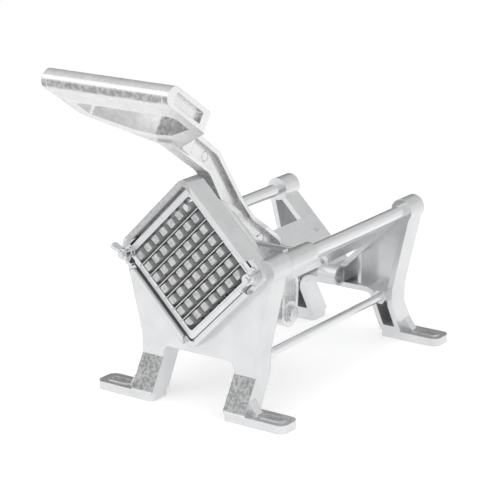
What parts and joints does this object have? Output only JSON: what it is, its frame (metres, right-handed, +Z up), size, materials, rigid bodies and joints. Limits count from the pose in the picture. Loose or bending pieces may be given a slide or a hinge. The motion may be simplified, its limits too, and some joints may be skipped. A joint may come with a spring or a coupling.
{
  "type": "french fry cutter",
  "caption": "Bench-mounted lever french fry cutter with a pegged pusher on guide rods, a V trough and a square blade grid standing on one corner.",
  "frame": {"origin": "on the bench, at the centre of the four foot slots", "axes": "+Z up; +Y along the guide rods from the blade grid towards the rear frame; +X to the right as seen from the blade grid's side"},
  "size_m": [0.212, 0.4071, 0.3289],
  "materials": {
    "casting": "cast and tumbled, bright, mottled on the legs, the rim and the grip",
    "rod_steel": "drawn, satin",
    "sheet": "rolled, smooth",
    "blade_steel": "ground",
    "hardware": "plated, bright"
  },
  "bodies": {
    "frame": {"front_frame": "casting", "rear_frame": "casting", "guide_rod_left": "rod_steel", "guide_rod_right": "rod_steel", "guide_rod_screws": "hardware", "tie_rod_left": "rod_steel", "tie_rod_right": "rod_steel", "tie_rod_nuts": "hardware", "trough_left": "sheet", "trough_right": "sheet", "trough_screws": "hardware", "blade_frame": "casting", "front_blades": "blade_steel", "rear_blades": "blade_steel", "blade_studs": "hardware", "stud_washers": "hardware", "fulcrum_bracket": "casting", "bracket_bolt": "hardware", "bracket_nut": "hardware", "fulcrum_pin": "rod_steel", "fulcrum_washers": "hardware", "fulcrum_nut": "hardware"},
    "carriage": {"carriage": "casting", "pusher_block": "casting", "pusher_screws": "hardware"},
    "lever": {"lever": "casting", "drive_pin": "rod_steel", "drive_pin_clip": "hardware"},
    "wing_nut_left": {"wing_nut_left": "hardware"},
    "wing_nut_right": {"wing_nut_right": "hardware"}
  },
  "joints": [
    {"name": "carriage_slide", "type": "slide", "parent": "frame", "child": "carriage", "axis": [0, 1, 0], "range_m": [0, 0.1]},
    {"name": "lever_swing", "type": "hinge", "parent": "frame", "child": "lever", "pos_m": [0, 0.001, 0.053], "axis": [-1, 0, 0], "range_deg": [0, 64.5]},
    {"name": "wing_nut_left_spin", "type": "hinge", "parent": "frame", "child": "wing_nut_left", "pos_m": [-0.069, -0.147, 0.1385], "axis": [0, 1, 0], "continuous": true},
    {"name": "wing_nut_right_spin", "type": "hinge", "parent": "frame", "child": "wing_nut_right", "pos_m": [0.069, -0.147, 0.1385], "axis": [0, 1, 0], "continuous": true}
  ],
  "couplings": [
    {"joint": "lever_swing", "follows": "carriage_slide", "rad_per_m": 11.217}
  ]
}
